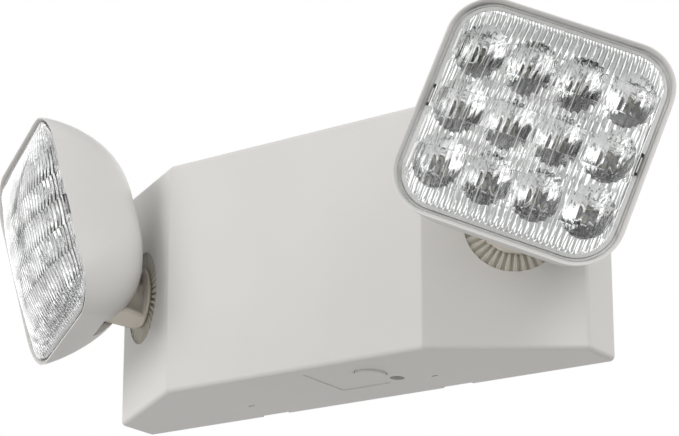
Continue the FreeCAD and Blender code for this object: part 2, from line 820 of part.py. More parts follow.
def lens_form(inset):
    """The crowned clear cover as a loft of rounded squares."""
    half_mouth = head_size / 2 - shell_wall - mouth_gap - inset
    corner = head_corner - shell_wall - inset
    rim_y = -rim_ahead_of_pin
    wires = [rounded_square(half_mouth, corner, rim_y + lens_skirt, head_centre_above_pin),
             rounded_square(half_mouth, corner, rim_y + lens_sunk, head_centre_above_pin)]
    skirt = Part.makeLoft(wires, True, True)
    wires = []
    for share in (0.0, 0.3, 0.6, 0.8, 0.93, 1.0):
        half = half_mouth * math.sqrt(1.0 - share) * (1 - 0.04 * share) + 7.0 * share
        bend = corner * (1 - share) + 0.8 * half * share
        y = rim_y + lens_sunk - (lens_crown - inset) * share
        wires.append(rounded_square(half, bend, y, head_centre_above_pin))
    return skirt.fuse(Part.makeLoft(wires, True, False))


def lens():
    """The clear front of the head, with the two long windows over its snap hooks."""
    cover = lens_form(0.0).cut(lens_form(lens_thickness))
    x = head_size / 2 - shell_wall - window_inset
    for side in (-1, 1):
        low = Vector(side * x - window_width / 2, -rim_ahead_of_pin - 4,
                     head_centre_above_pin - window_length / 2)
        high = Vector(side * x + window_width / 2, -rim_ahead_of_pin + 4,
                      head_centre_above_pin + window_length / 2)
        cover = cover.cut(box(low, high))
    return cover.removeSplitter()


def cup_places():
    """The centres of the reflector cups, as x and z from the middle of the head."""
    places = []
    for row in range(cup_rows):
        for column in range(cup_columns):
            x = (column - (cup_columns - 1) / 2) * cup_pitch_x
            z = (row - (cup_rows - 1) / 2) * cup_pitch_z
            places.append((x, z + head_centre_above_pin))
    return places


def cup_solid(grow):
    """One cup as a turned solid: a curved wall from the small floor to the wide mouth."""
    floor = cup_floor_radius + grow
    mouth = cup_mouth_radius + grow
    knee = Vector(floor + (mouth - floor) * 0.62, -cup_depth * 0.36, 0)
    start = Vector(floor, 0, 0)
    end = Vector(mouth, -cup_depth, 0)
    edges = [Part.LineSegment(Vector(0, 0, 0), start).toShape(), Part.Arc(start, knee, end).toShape(),
             Part.LineSegment(end, Vector(0, -cup_depth, 0)).toShape(),
             Part.LineSegment(Vector(0, -cup_depth, 0), Vector(0, 0, 0)).toShape()]
    return Part.Face(Part.Wire(edges)).revolve(Vector(0, 0, 0), Vector(0, 1, 0), 360)


def bowl_slice(gap, front, thickness):
    """A flat slice of the bowl's inside, held off its wall by gap; front is its depth behind the rim."""
    y = -rim_ahead_of_pin + front
    slab = box(Vector(-head_size, y, -head_size), Vector(head_size, y + thickness, 2 * head_size))
    return shell_form(shell_wall + gap).common(slab)


def reflector():
    """The bright tray: a flange with twelve open cups, each with a hole for its light chip."""
    front_y = -rim_ahead_of_pin + reflector_front
    tray = bowl_slice(reflector_gap, reflector_front, reflector_flange)
    floor_y = front_y + cup_depth
    outer = cup_solid(reflector_wall)
    inner = cup_solid(0.0)
    hole = rod(cup_floor_radius, Vector(0, -2, 0), Vector(0, 2, 0))
    solids = []
    cutters = []
    for x, z in cup_places():
        at = Placement(Vector(x, floor_y, z), Rotation())
        solids.append(moved(outer, at))
        cutters.append(moved(inner, at))
        cutters.append(moved(hole, at))
    tray = tray.multiFuse(solids)
    return tray.cut(Part.makeCompound(cutters)).removeSplitter()


def led_board():
    """The light board behind the cups, resting on the posts of the bowl."""
    return bowl_slice(reflector_gap, board_front, board_thickness)


def light_chips():
    """The twelve light chips, one in the floor of each cup."""
    front_y = -rim_ahead_of_pin + board_front
    half = chip_size / 2
    chips = [box(Vector(x - half, front_y - chip_height, z - half), Vector(x + half, front_y, z + half))
             for x, z in cup_places()]
    return Part.makeCompound(chips)


def swivel_pose(side, swivel):
    """The placement of an arm turned about its swivel axis."""
    turn = Placement(Vector(0, 0, 0), Rotation(Vector(0, -1, 0), swivel))
    return side_frame(side).multiply(turn)


def tilt_pose(side, swivel, tilt):
    """The placement of a head tilted about its pin."""
    at_pin = Placement(Vector(0, -arm_reach, -arm_drop), Rotation(Vector(1, 0, 0), tilt))
    return swivel_pose(side, swivel).multiply(at_pin)


def write(name, shape):
    """Check a shape and write it as one STEP file."""
    if not shape.isValid():
        print("invalid shape:", name)
    for solid in shape.Solids:
        if solid.Volume < 0.01:
            print("empty solid:", name)
    shape.exportStep("parts/" + name + ".step")
    print(name, len(shape.Solids), "solids", round(shape.Volume), "cubic mm")


os.makedirs("parts", exist_ok=True)

write("front_housing", front_housing())
write("back_plate", back_plate())
write("battery_pack", battery_pack())
write("battery_straps", battery_straps())
write("strap_screws", strap_screws())
write("charger_board", charger_board())
write("board_screws", board_screws())
write("transformer", transformer())
write("relay", relay())
write("capacitors", capacitors())
write("terminal_block", terminal_block())
write("heat_sink", heat_sink())
write("test_board", test_board())
write("test_board_screws", test_board_screws())
write("test_switch", test_switch())
write("indicator_lamp", indicator_lamp())
write("test_button", test_button())

arm_pieces = {"arm": arm(), "swivel_washer": swivel_washer(), "swivel_collar": swivel_collar(),
              "collar_screws": collar_screws()}
head_pieces = {"tilt_pin": tilt_pin(), "lamp_shell": lamp_shell(), "reflector": reflector(),
               "led_board": led_board(), "light_chips": light_chips(), "lens": lens()}
poses = (("left", -1, left_swivel, left_tilt), ("right", 1, right_swivel, right_tilt))
for name, side, swivel, tilt in poses:
    for piece, shape in arm_pieces.items():
        write(name + "_" + piece, moved(shape, swivel_pose(side, swivel)))
    for piece, shape in head_pieces.items():
        write(name + "_" + piece, moved(shape, tilt_pose(side, swivel, tilt)))
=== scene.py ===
# %% [markdown]
# This lesson dresses a two-head emergency light that hangs on a wall. The imported model gives every
# piece its place and size, so the first step only loads it.

# %% Load the imported model
import json
import math
import bmesh
import bpy
import numpy as np
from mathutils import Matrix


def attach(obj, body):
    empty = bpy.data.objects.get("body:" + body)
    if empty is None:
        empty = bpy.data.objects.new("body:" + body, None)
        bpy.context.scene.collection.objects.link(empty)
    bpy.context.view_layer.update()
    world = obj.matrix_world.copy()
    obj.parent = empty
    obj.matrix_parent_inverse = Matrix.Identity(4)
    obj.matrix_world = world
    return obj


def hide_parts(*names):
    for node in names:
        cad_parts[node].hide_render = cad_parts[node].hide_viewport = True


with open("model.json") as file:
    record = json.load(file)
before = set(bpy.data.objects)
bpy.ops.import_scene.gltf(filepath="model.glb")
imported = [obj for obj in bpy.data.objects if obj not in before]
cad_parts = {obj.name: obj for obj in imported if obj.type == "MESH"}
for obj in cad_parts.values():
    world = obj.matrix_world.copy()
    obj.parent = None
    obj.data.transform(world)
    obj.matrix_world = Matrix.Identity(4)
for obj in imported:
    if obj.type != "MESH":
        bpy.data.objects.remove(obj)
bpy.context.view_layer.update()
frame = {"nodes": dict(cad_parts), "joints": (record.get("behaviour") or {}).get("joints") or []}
print("nodes loaded:", len(frame["nodes"]))

# %% [markdown]
# Each lamp head has its own little frame: across the lens, up the lens and out towards the light.
# The joints of the model hold the swivel axis and the tilt axis. The range of a tilt starts where the
# lens faces straight along the swivel axis, so that limit also tells how far the head leans as it hangs.
# The pieces made here then follow the heads wherever the model stores them.

# %% Head frames from the joints
mm = 0.001
pin_to_rim = 20.5
pin_to_middle = 33.0


def head_frame(side):
    """Middle of the bowl's rim, and unit vectors across, up and out: the swivel axis leant by the tilt."""
    joints = {joint["name"]: joint for joint in frame["joints"]}
    swivel = np.array(joints[side + "_swivel"]["axis"])
    across = np.array(joints[side + "_tilt"]["axis"])
    lean = -math.radians(joints[side + "_tilt"]["range_deg"][0])
    rise = np.cross(swivel, across)
    out = math.cos(lean) * swivel - math.sin(lean) * rise
    up = math.cos(lean) * rise + math.sin(lean) * swivel
    pin = np.array(joints[side + "_tilt"]["pos_m"])
    return pin + mm * (pin_to_rim * out + pin_to_middle * up), across, up, out


heads = {side: head_frame(side) for side in ("left", "right")}
for side, (origin, across, up, out) in heads.items():
    print(side, "head faces", np.round(out, 3), "with its rim at", np.round(origin, 4))

# %% [markdown]
# The moulded parts share one ivory plastic. Spark-eroded moulds leave a very fine matt grain, and a long
# flat wall is never one exact tone. Two noise patterns on Object coordinates give both: the small one
# drives the bump and the roughness, the large one moves the colour by a percent or two. A noise seldom
# leaves the middle of its range, so each pattern is spread from there.

# %% Material helpers
def new_material(name, colour, rough, metal=0.0):
    """A Principled material; returns it with its node tree and its shader."""
    material = bpy.data.materials.new(name)
    material.use_nodes = True
    tree = material.node_tree
    shader = tree.nodes["Principled BSDF"]
    shader.inputs["Base Color"].default_value = (*colour, 1.0)
    shader.inputs["Roughness"].default_value = rough
    shader.inputs["Metallic"].default_value = metal
    material.diffuse_color = (*colour, 1.0)
    return material, tree, shader


def noise_value(tree, per_metre, detail=2.0, stretch=(1.0, 1.0, 1.0)):
    """A noise pattern in Object coordinates, with so many lumps to the metre."""
    place = tree.nodes.new("ShaderNodeTexCoord")
    scale = tree.nodes.new("ShaderNodeMapping")
    scale.inputs["Scale"].default_value = stretch
    noise = tree.nodes.new("ShaderNodeTexNoise")
    noise.inputs["Scale"].default_value = per_metre
    noise.inputs["Detail"].default_value = detail
    tree.links.new(place.outputs["Object"], scale.inputs["Vector"])
    tree.links.new(scale.outputs["Vector"], noise.inputs["Vector"])
    return noise.outputs["Fac"]


noise_low = 0.3
noise_high = 0.7


def spread(tree, value, low, high):
    """Carries a pattern from the range of the noise onto the range low to high, in proportion."""
    node = tree.nodes.new("ShaderNodeMapRange")
    node.inputs["From Min"].default_value = noise_low
    node.inputs["From Max"].default_value = noise_high
    node.inputs["To Min"].default_value = low
    node.inputs["To Max"].default_value = high
    tree.links.new(value, node.inputs["Value"])
    return node.outputs["Result"]


def two_tone(tree, shader, value, first, second):
    """Base colour that runs from the first colour to the second as the pattern rises."""
    ramp = tree.nodes.new("ShaderNodeValToRGB")
    ramp.color_ramp.elements[0].position = noise_low
    ramp.color_ramp.elements[0].color = (*first, 1.0)
    ramp.color_ramp.elements[1].position = noise_high
    ramp.color_ramp.elements[1].color = (*second, 1.0)
    tree.links.new(value, ramp.inputs["Fac"])
    tree.links.new(ramp.outputs["Color"], shader.inputs["Base Color"])
    return ramp


def relief(tree, shader, value, depth_mm):
    """Bump of the given depth from a pattern."""
    bump = tree.nodes.new("ShaderNodeBump")
    bump.inputs["Distance"].default_value = depth_mm * mm
    bump.inputs["Strength"].default_value = 1.0
    tree.links.new(value, bump.inputs["Height"])
    tree.links.new(bump.outputs["Normal"], shader.inputs["Normal"])


print("pattern range:", noise_low, "to", noise_high)

# %% Moulded plastics
drift_per_metre = 14.0
moulded_shine = 0.4


def moulded(name, colour, rough=0.42, grain_mm=0.012, grain_per_metre=1600.0, drift=0.02):
    """Moulded plastic: fine matt grain in bump and roughness, slow drift of tone."""
    material, tree, shader = new_material(name, colour, rough)
    pale = tuple(min(1.0, c * (1 + drift)) for c in colour)
    deep = tuple(c * (1 - drift) for c in colour)
    two_tone(tree, shader, noise_value(tree, drift_per_metre), deep, pale)
    grain = noise_value(tree, grain_per_metre, detail=3.0)
    tree.links.new(spread(tree, grain, rough - 0.05, rough + 0.07), shader.inputs["Roughness"])
    relief(tree, shader, grain, grain_mm)
    shader.inputs["Specular IOR Level"].default_value = moulded_shine
    return material


plastics = {
    "housing": moulded("ivory_housing", (0.700, 0.687, 0.664)),
    "ring": moulded("cream_ring", (0.655, 0.630, 0.560), rough=0.45),
    "plate": moulded("ivory_plate", (0.660, 0.650, 0.610), rough=0.38),
    # The arm's warmer ivory is partly its own tone and partly painted light: it is made lighter to offset
    # the shadow that the bowl throws on the arm.
    "arm": moulded("ivory_arm", (0.800, 0.745, 0.655), rough=0.40),
    "head": moulded("ivory_head", (0.708, 0.697, 0.677), rough=0.40),
}
print("plastics:", sorted(plastics))

# %% [markdown]
# Metals, boards and wraps sit inside, but each still has its own finish. Brushed steel is a noise
# pattern stretched along one direction, a board has a faint weave under its varnish, and a battery
# wrap is shrunk film with soft wrinkles.

# %% Metals
def brushed(name, colour, rough, stretch=(1.0, 1.0, 12.0), depth_mm=0.004):
    """Metal with fine lines along one direction."""
    material, tree, shader = new_material(name, colour, rough, metal=1.0)
    lines = noise_value(tree, per_metre=900.0, stretch=stretch)
    tree.links.new(spread(tree, lines, rough - 0.06, rough + 0.08), shader.inputs["Roughness"])
    relief(tree, shader, lines, depth_mm)
    return material


steel = brushed("zinc_steel", (0.62, 0.62, 0.60), rough=0.28)
core_steel = brushed("core_sheets", (0.34, 0.33, 0.32), rough=0.45, stretch=(1.0, 40.0, 1.0), depth_mm=0.02)
aluminium = brushed("sink_aluminium", (0.70, 0.71, 0.72), rough=0.32, stretch=(12.0, 1.0, 1.0))
print("metals:", steel.name, core_steel.name, aluminium.name)

# %% Boards, wraps and dark plastics
trace_cells_per_metre = 210.0
trace_edge = (0.52, 0.56)


def board_finish(name, colour, trace, rough=0.32):
    """Circuit board: a blocky pattern of covered traces under varnish."""
    material, tree, shader = new_material(name, colour, rough)
    place = tree.nodes.new("ShaderNodeTexCoord")
    cells = tree.nodes.new("ShaderNodeTexVoronoi")
    cells.distance = "CHEBYCHEV"
    cells.feature = "F2"
    cells.inputs["Scale"].default_value = trace_cells_per_metre
    tree.links.new(place.outputs["Object"], cells.inputs["Vector"])
    ramp = two_tone(tree, shader, cells.outputs["Distance"], colour, trace)
    for element, position in zip(ramp.color_ramp.elements, trace_edge):
        element.position = position
    relief(tree, shader, cells.outputs["Distance"], depth_mm=0.02)
    return material


green_board = board_finish("green_board", (0.015, 0.11, 0.045), (0.03, 0.20, 0.08))
light_board = board_finish("white_light_board", (0.50, 0.50, 0.49), (0.42, 0.42, 0.41))
cell_wrap = moulded("cell_wrap", (0.50, 0.46, 0.06), rough=0.30, grain_mm=0.05,
                    grain_per_metre=160.0, drift=0.05)
black_plastic = moulded("black_plastic", (0.025, 0.025, 0.027))
can_sleeve = moulded("can_sleeve", (0.03, 0.05, 0.12), rough=0.25)
terminal_plastic = moulded("terminal_plastic", (0.05, 0.22, 0.10), rough=0.40)
lamp_red = moulded("lamp_red", (0.22, 0.012, 0.010), rough=0.15, grain_mm=0.002)
lamp_red.node_tree.nodes["Principled BSDF"].inputs["Transmission Weight"].default_value = 0.35
print("inner finishes ready")

# %% [markdown]
# The lens is clear polycarbonate and the tray behind it is plastic with a bright metal coat. Both are
# nearly smooth, so what they show comes from their shape. Light reaches the tray through the lens only
# by bending, which a path tracer finds slowly, so shadow rays are let straight through. The shine of the
# lens is halved, so that the tray reads through it. The frosted finish is for thin lines inside the lens.

# %% Clear and bright finishes
def clear_cover(name):
    """Polycarbonate that bends what is behind it and lets shadow rays pass."""
    material, tree, shader = new_material(name, (0.985, 0.99, 0.99), rough=0.0)
    shader.inputs["Transmission Weight"].default_value = 1.0
    shader.inputs["IOR"].default_value = 1.53
    shader.inputs["Specular IOR Level"].default_value = 0.25
    haze = noise_value(tree, per_metre=220.0)
    tree.links.new(spread(tree, haze, 0.0, 0.05), shader.inputs["Roughness"])
    relief(tree, shader, noise_value(tree, per_metre=90.0, detail=1.0), depth_mm=0.02)
    light_path = tree.nodes.new("ShaderNodeLightPath")
    straight = tree.nodes.new("ShaderNodeBsdfTransparent")
    straight.inputs["Color"].default_value = (0.93, 0.94, 0.94, 1.0)
    mix = tree.nodes.new("ShaderNodeMixShader")
    out = tree.nodes["Material Output"]
    tree.links.new(light_path.outputs["Is Shadow Ray"], mix.inputs["Fac"])
    tree.links.new(shader.outputs["BSDF"], mix.inputs[1])
    tree.links.new(straight.outputs["BSDF"], mix.inputs[2])
    tree.links.new(mix.outputs["Shader"], out.inputs["Surface"])
    return material


def bright_coat(name):
    """Vacuum-coated metal: mirror-like, with a trace of orange peel."""
    material, tree, shader = new_material(name, (0.94, 0.94, 0.935), rough=0.05, metal=1.0)
    peel = noise_value(tree, per_metre=420.0)
    tree.links.new(spread(tree, peel, 0.03, 0.09), shader.inputs["Roughness"])
    relief(tree, shader, peel, depth_mm=0.012)
    return material


clear_lens = clear_cover("clear_lens")
frosted_line, _, line_shader = new_material("frosted_line", (0.95, 0.95, 0.94), rough=0.55)
line_shader.inputs["Transmission Weight"].default_value = 0.35
bright_tray = bright_coat("bright_tray")
chip_case_white = moulded("white_chip_case", (0.62, 0.62, 0.60), rough=0.35, grain_mm=0.004)
chip_glow = moulded("yellow_chip", (0.62, 0.58, 0.42), rough=0.25, grain_mm=0.004)
print("optics:", clear_lens.name, bright_tray.name)

# %% [markdown]
# The imported meshes are loose flat triangles. A copy with its doubles merged can be shaded smoothly
# across its curves and kept crisp at its edges. On a box-like piece, normals weighted by area keep each
# large face flat up to its rounded edges. The copy then shows in its node's place, and the node is
# hidden, so the place is unchanged.

# %% Finished copies of the imported nodes
weld_reach = 2e-6


def weld(mesh):
    """Merges the doubled corners of a triangle mesh."""
    work = bmesh.new()
    work.from_mesh(mesh)
    bmesh.ops.remove_doubles(work, verts=work.verts, dist=weld_reach)
    work.to_mesh(mesh)
    work.free()


def place_piece(name, mesh, body, slot_name, *nodes):
    """Links a mesh as an object at the origin, rides it on its body and hides the nodes it replaces; its
    slot name is not used.
    """
    piece = bpy.data.objects.new(name, mesh)
    bpy.context.scene.collection.objects.link(piece)
    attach(piece, body)
    if nodes:
        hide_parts(*nodes)
    return piece


def finished_copy(node, body, slot_name, material, crease=32.0, flat=False):
    """A welded, smooth-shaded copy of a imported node; flat lets its large faces keep their own normals."""
    mesh = frame["nodes"][node].data.copy()
    mesh.name = node + "_finished"
    weld(mesh)
    mesh.materials.clear()
    mesh.materials.append(material)
    mesh.shade_smooth()
    mesh.set_sharp_from_angle(angle=math.radians(crease))
    piece = place_piece(node + "_finished", mesh, body, slot_name, node)
    if flat:
        shade = piece.modifiers.new("shade", "WEIGHTED_NORMAL")
        shade.mode = "FACE_AREA"
        shade.weight = 100
        shade.keep_sharp = True
    return piece


inner_finish = {
    "back_plate": ("plate_plastic", plastics["plate"]), "battery_pack": ("cell_wrap", cell_wrap),
    "battery_straps": ("steel", steel), "strap_screws": ("steel", steel), "board_screws": ("steel", steel),
    "charger_board": ("green_board", green_board), "transformer": ("core_steel", core_steel),
    "relay": ("black_plastic", black_plastic), "capacitors": ("can_sleeve", can_sleeve),
    "terminal_block": ("terminal_plastic", terminal_plastic), "heat_sink": ("sink_aluminium", aluminium),
    "test_board": ("green_board", green_board), "test_board_screws": ("steel", steel),
    "test_switch": ("black_plastic", black_plastic), "indicator_lamp": ("lamp_red", lamp_red),
}
for node, (slot_name, material) in inner_finish.items():
    finished_copy(node, "housing", slot_name, material, flat=True)
print("finished copies in the housing:", len(inner_finish))

# %% [markdown]
# The toothed rings in the slanted sides are of a creamier plastic than the shell around them. Their faces
# are found by how near they lie to a swivel axis and how deep they lie below its slanted side.

# %% Housing and button
housing = finished_copy("front_housing", "housing", "housing_plastic", plastics["housing"],
                        crease=24.0, flat=True)
housing.data.materials.append(plastics["ring"])
finished_copy("test_button", "test_button", "housing_plastic", plastics["housing"],
              crease=30.0, flat=True)
ring_reach = 22.7
ring_top = 0.05
ring_floor = 2.5


def face_centres(mesh):
    """Middles of a mesh's faces, one row each."""
    centre = np.empty(len(mesh.polygons) * 3)
    mesh.polygons.foreach_get("center", centre)
    return centre.reshape(-1, 3)


def mark_rings(mesh):
    """Gives the cream plastic to the faces sunk below a slanted side and near its swivel axis."""
    centre = face_centres(mesh)
    index = np.zeros(len(centre), dtype=np.int32)
    for joint in frame["joints"]:
        if joint["name"].endswith("_swivel"):
            axis = np.array(joint["axis"])
            away = centre - np.array(joint["pos_m"])
            sunk = -(away @ axis)
            radius = np.linalg.norm(away + sunk[:, None] * axis, axis=1)
            index[(radius < ring_reach * mm) & (sunk > ring_top * mm) & (sunk < ring_floor * mm)] = 1
    mesh.polygons.foreach_set("material_index", index)
    return int(index.sum())


print("ring faces:", mark_rings(housing.data))

# %% Arms and bowls
for side in heads:
    arm_body = side + "_arm"
    head_body = side + "_head"
    # Arms and collars take the arm ivory, which carries painted light against the bowl's shadow.
    finished_copy(side + "_arm", arm_body, "arm_plastic", plastics["arm"], crease=30.0, flat=True)
    finished_copy(side + "_swivel_washer", arm_body, "steel", steel)
    finished_copy(side + "_swivel_collar", arm_body, "arm_plastic", plastics["arm"])
    finished_copy(side + "_collar_screws", arm_body, "steel", steel)
    finished_copy(side + "_tilt_pin", head_body, "steel", steel)
    finished_copy(side + "_lamp_shell", head_body, "housing_plastic", plastics["head"], crease=30.0)
    finished_copy(side + "_led_board", head_body, "light_board", light_board)
print("arms and bowls done")

# %% [markdown]
# A new piece is worked out as a whole grid of points, row by column, with numpy. The grid becomes faces
# by joining each point to its neighbours, and grids of one piece are merged where their edges meet.
# Sizes are in millimetres across, up and out of a lamp head, and one helper carries them to the frame.

# %% Grids to meshes
shortest_edge = 1e-7


def grid_faces(rows, columns, closed=False, looped=False):
    """Quads between grid points; closed joins the last column to the first, looped the last row too."""
    row = np.arange(rows if looped else rows - 1)[:, None]
    column = np.arange(columns if closed else columns - 1)[None, :]
    above = (row + 1) % rows
    after = (column + 1) % columns
    corners = [(row, column), (row, after), (above, after), (above, column)]
    return np.stack([(r * columns + c) + 0 * row for r, c in corners], axis=-1).reshape(-1, 4)


def sharp_borders(mesh):
    """Marks the edges that belong to one face only as sharp, so a later wall doesn't bend their shading."""
    edge_of = np.empty(len(mesh.loops), dtype=np.int32)
    mesh.loops.foreach_get("edge_index", edge_of)
    sharp = np.empty(len(mesh.edges), dtype=bool)
    mesh.edges.foreach_get("use_edge_sharp", sharp)
    mesh.edges.foreach_set("use_edge_sharp", sharp | (np.bincount(edge_of, minlength=len(sharp)) == 1))


def mesh_from(name, points, faces, material, crease=30.0, solid=True):
    """Welds points and quads into a smooth mesh; a solid one gets its normals turned outwards."""
    mesh = bpy.data.meshes.new(name)
    mesh.from_pydata(points.tolist(), [], faces.tolist())
    work = bmesh.new()
    work.from_mesh(mesh)
    bmesh.ops.remove_doubles(work, verts=work.verts, dist=weld_reach)
    bmesh.ops.dissolve_degenerate(work, edges=work.edges, dist=shortest_edge)
    if solid:
        bmesh.ops.recalc_face_normals(work, faces=work.faces)
    work.to_mesh(mesh)
    work.free()
    mesh.materials.append(material)
    mesh.shade_smooth()
    mesh.set_sharp_from_angle(angle=math.radians(crease))
    sharp_borders(mesh)
    return mesh


def joined(parts):
    """Several sets of points and quads as one."""
    starts = np.cumsum([0] + [len(points) for points, _ in parts])
    quads = [quads + start for (_, quads), start in zip(parts, starts)]
    return np.concatenate([points for points, _ in parts]), np.concatenate(quads)


print("quads in a grid of 3 rows and 4 columns:", len(grid_faces(3, 4)))

# %% Head values and rounded squares
def to_head(side, x, z, height):
    """Places head values, across, up and out in millimetres, in the frame of the object."""
    origin, across, up, out = heads[side]
    local = np.stack([x, z, height], axis=-1) * mm
    return origin + local @ np.stack([across, up, out])


def head_values(side, places):
    """The way back: head values, across, up and out in millimetres, of places in the frame."""
    origin, across, up, out = heads[side]
    away = (places - origin) / mm
    return away @ across, away @ up, away @ out


def round_reach(x, half, flat):
    """How far up a rounded square reaches at x: half over the flat, then flat plus the arc's height."""
    over = np.clip(np.abs(x) - flat, 0.0, half - flat)
    return flat + np.sqrt(np.maximum((half - flat) ** 2 - over ** 2, 0.0))


def outline_path(flat, side_points=12, corner_points=16):
    """Points on a square of that flat half width, each with the direction in which an outline lies."""
    turn = np.linspace(0.0, math.pi / 2, corner_points)
    along = np.linspace(-flat, flat, side_points, endpoint=False)
    foot_x = np.concatenate([np.full(side_points, flat), np.full(corner_points, flat)])
    foot_z = np.concatenate([along, np.full(corner_points, flat)])
    way_x = np.concatenate([np.ones(side_points), np.cos(turn)])
    way_z = np.concatenate([np.zeros(side_points), np.sin(turn)])
    quarter = np.stack([foot_x, foot_z, way_x, way_z])
    sides = [quarter]
    for _ in range(3):
        last = sides[-1]
        sides.append(np.stack([-last[1], last[0], -last[3], last[2]]))
    return np.concatenate([side[:, :-1] for side in sides], axis=1)


def swept_ring(side, profile, flat):
    """A closed profile of half widths and heights carried round a rounded square, as points and quads."""
    foot_x, foot_z, way_x, way_z = outline_path(flat)
    half, height = np.array(profile).T[:, :, None]
    x = foot_x + (half - flat) * way_x
    z = foot_z + (half - flat) * way_z
    points = to_head(side, x, z, height + 0 * x)
    return points.reshape(-1, 3), grid_faces(*x.shape, closed=True, looped=True)


print("points on an outline:", outline_path(1.0).shape[1])

# %% [markdown]
# The lens is a crowned square cover, sunk a little behind the rim. Outside it is smooth. Inside, a comb
# of upright ribs spreads the light sideways, and five bands of bowed wedges throw it up and down; that
# is why the cups look cut along level lines. The outermost two bands stay plain. The grid has columns
# across and rows up the face, so ribs and bands follow grid lines, and rows that would leave the rounded
# corner are stopped on its outline, where the merge closes them. A small window goes through each side,
# and thin frosted lines stand inside, over the left three fifths.

# %% Lens values
lens_half = 48.55
lens_flat = 30.15
lens_crown = 10.8
crown_power = 2.5
lens_sunk = 0.9
lens_wall = 1.8
skirt_wall = 1.3
skirt_depth = 2.5
rib_pitch = 2.7
rib_height = 0.30
band_edges = np.array([-lens_half, -35.2, -21.8, -8.4, 5.0, 18.4, 31.8, lens_half])
band_wedge = 1.0
band_bow = 0.75
band_end = 6.0
field_half = 45.0
fade_width = 0.5


def crown(x, z):
    """Height of the outside over the rim: the crown times one minus each share to the crown power."""
    across = 1 - np.minimum(np.abs(x) / lens_half, 1.0) ** crown_power
    upward = 1 - np.minimum(np.abs(z) / lens_half, 1.0) ** crown_power
    return lens_crown * across * upward - lens_sunk


def square_reach(x, z):
    """Half width of the rounded square through a point: flat plus the distance beyond the flat."""
    over_x = np.maximum(np.abs(x) - lens_flat, 0.0)
    over_z = np.maximum(np.abs(z) - lens_flat, 0.0)
    return lens_flat + np.hypot(over_x, over_z)


def inner_relief(x, z, band):
    """Rib height times the bare sine of the place across; wedge times share plus bow times its parabola."""
    fade = np.clip((field_half - square_reach(x, z)) / fade_width, 0.0, 1.0)
    ribs = rib_height * np.abs(np.sin(np.pi * x / rib_pitch))
    share = (z - band_edges[band]) / (band_edges[band + 1] - band_edges[band])
    middle = (band > 0) & (band < len(band_edges) - 2)
    ends = np.clip((field_half - np.abs(x)) / band_end, 0.0, 1.0)
    bands = np.where(middle, band_wedge * share + band_bow * 4 * share * (1 - share), 0.0)
    return (ribs + bands * ends) * fade


print("lens crown over the rim:", lens_crown - lens_sunk, "mm")

# %% Rows and columns of the lens
row_step = 1.7
column_count = 541
window_x = (45.7, 47.2)
window_z = 5.0


def row_levels():
    """Heights and bands of the rows: a double row at each band edge, and rows at the window's ends."""
    levels = []
    bands = []
    places = (field_half, field_half - fade_width, window_z)
    stops = [sign * place for sign in (-1, 1) for place in places]
    for band in range(len(band_edges) - 1):
        low, high = band_edges[band], band_edges[band + 1]
        inside = np.linspace(low, high, int((high - low) / row_step))
        inside = np.union1d(inside, [v for v in stops if low < v < high])
        levels.append(inside)
        bands.append(np.full(len(inside), band))
    return np.concatenate(levels), np.concatenate(bands)


def nearest(values, place):
    """Number of the value that lies nearest to a place."""
    return np.argmin(np.abs(values - place))


def column_places():
    """Places of the columns, with one moved onto each window side and each edge of the fade."""
    columns = np.linspace(-lens_half, lens_half, column_count)
    for edge in (*window_x, field_half, field_half - fade_width):
        for sign in (-1, 1):
            columns[nearest(columns, sign * edge)] = sign * edge
    return columns


print("rows and columns:", len(row_levels()[0]), column_count)

# %% Windows of the lens
def perimeter(grid):
    """The outline of a grid in order: top row, right column, bottom row, left column."""
    return np.concatenate([grid[-1, :-1], grid[::-1, -1][:-1], grid[0, ::-1][:-1], grid[:, 0][:-1]])


def cut_windows(columns, level):
    """Faces of one sheet without those in the two windows, and the outline of each window."""
    count = len(columns)
    faces = grid_faces(len(level), count)
    middle_x = np.abs((columns[:-1] + columns[1:])[faces[:, 0] % count]) / 2
    middle_z = np.abs((level[:-1] + level[1:])[faces[:, 0] // count]) / 2
    open_faces = (middle_x > window_x[0]) & (middle_x < window_x[1]) & (middle_z < window_z)
    rows = slice(nearest(level, -window_z), nearest(level, window_z) + 1)
    ids = np.arange(len(level) * count).reshape(len(level), count)
    outlines = []
    for sign in (-1, 1):
        first, last = sorted(nearest(columns, sign * edge) for edge in window_x)
        outlines.append(perimeter(ids[rows, first:last + 1]))
    return faces[~open_faces], outlines


print("points round a window:", len(cut_windows(column_places(), row_levels()[0])[1][0]))

# %% Sheets and frosted lines
line_pitch = 8.0
line_half = 0.26
line_right = 12.0
inside_share = 0.8


def lens_sheets(columns, level, band):
    """Head values of the outside sheet, and of the inside sheet, which is smaller by the skirt's wall."""
    x = np.broadcast_to(columns, (len(level), len(columns)))
    reach = round_reach(x, lens_half, lens_flat)
    z = np.clip(level[:, None], -reach, reach)
    ratio = (lens_half - skirt_wall) / lens_half
    x_in = x * ratio
    reach_in = round_reach(x_in, lens_half - skirt_wall, lens_flat)
    z_in = np.clip(level[:, None] * ratio, -reach_in, reach_in)
    shape = inner_relief(x_in, z_in, np.broadcast_to(band[:, None], x.shape))
    return (x, z, crown(x, z)), (x_in, z_in, crown(x_in, z_in) - lens_wall - shape)


def mark_lines(mesh, side):
    """Frosts thin upright lines on the inside, one every 8 mm over the left three fifths of the lens."""
    x, z, height = head_values(side, face_centres(mesh))
    inner = (height < crown(x, z) - inside_share * lens_wall) & (square_reach(x, z) < field_half)
    from_line = np.abs((x / line_pitch) % 1.0 - 0.5) * line_pitch
    lines = inner & (from_line < line_half) & (x < line_right)
    mesh.polygons.foreach_set("material_index", lines.astype(np.int32))


sheets = lens_sheets(column_places(), *row_levels())
print("tops of the outside and the inside:", [round(float(sheet[2].max()), 2) for sheet in sheets])

